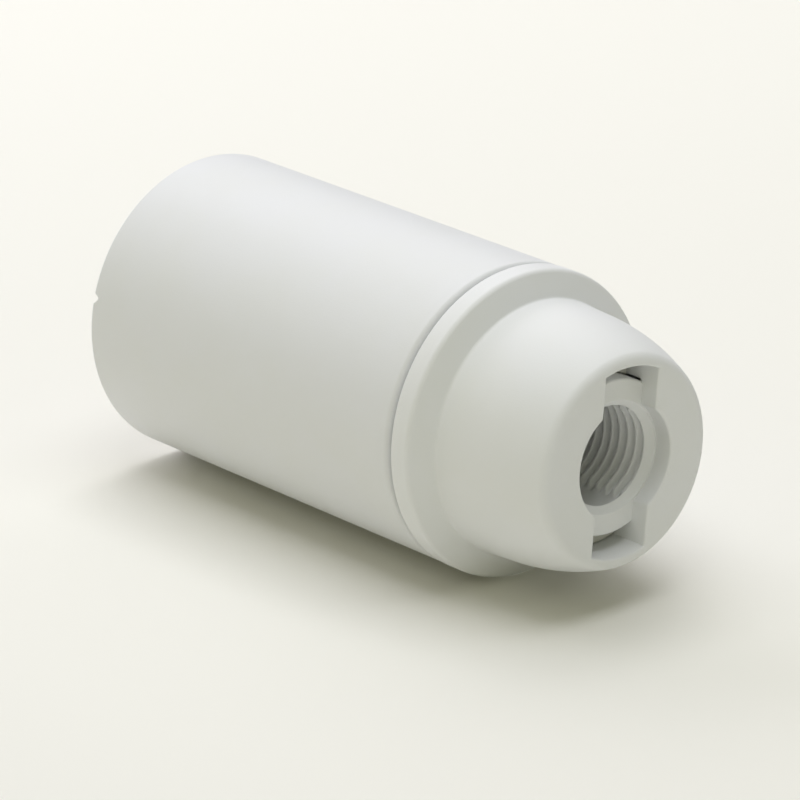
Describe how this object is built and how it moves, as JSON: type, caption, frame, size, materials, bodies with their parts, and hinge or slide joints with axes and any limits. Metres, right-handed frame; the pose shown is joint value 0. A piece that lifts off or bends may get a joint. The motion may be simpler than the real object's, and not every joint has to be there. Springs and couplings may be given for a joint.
{
  "type": "lamp holder",
  "caption": "Small white plain-skirt lamp holder for a screw-in candle lamp, with a domed cap and a threaded entry between two slots at its end.",
  "frame": {"origin": "centre of the skirt's open rim, on which the holder stands", "axes": "+Z along the axis from the lamp opening to the threaded entry, +Y along the two slots of the end face, +X towards the live terminal"},
  "size_m": [0.0276, 0.0276, 0.0555],
  "materials": {
    "white_plastic": "fine matt moulded white",
    "insulating_plastic": "matt moulded ivory",
    "nickel_plate": "dull nickel plate",
    "brass": "stamped and drawn brass",
    "zinc_steel": "zinc-plated steel"
  },
  "bodies": {
    "skirt": {"outer_skirt": "white_plastic"},
    "cap": {"dome_cap": "white_plastic", "terminal_block": "insulating_plastic", "screw_shell": "nickel_plate", "shell_rivet_1": "nickel_plate", "shell_rivet_2": "nickel_plate", "live_strip": "brass", "live_terminal": "brass", "neutral_terminal": "brass", "plunger_spring": "zinc_steel"},
    "plunger": {"centre_plunger": "nickel_plate", "plunger_clip": "zinc_steel"},
    "live_screw": {"live_terminal_screw": "zinc_steel"},
    "neutral_screw": {"neutral_terminal_screw": "zinc_steel"}
  },
  "joints": [
    {"name": "cap_pull", "type": "slide", "parent": "skirt", "child": "cap", "axis": [0, 0, 1], "range_m": [0, 0.034]},
    {"name": "plunger_press", "type": "slide", "parent": "cap", "child": "plunger", "axis": [0, 0, 1], "range_m": [0, 0.002], "stiffness_N_per_m": 600, "springref_m": -0.002, "deforming": ["plunger_spring"]},
    {"name": "live_screw_turn", "type": "hinge", "parent": "cap", "child": "live_screw", "pos_m": [0.0099, 0, 0.0327], "axis": [1, 0, 0], "range_deg": [0, 1170]},
    {"name": "neutral_screw_turn", "type": "hinge", "parent": "cap", "child": "neutral_screw", "pos_m": [-0.0099, 0, 0.0327], "axis": [-1, 0, 0], "range_deg": [0, 1170]}
  ]
}
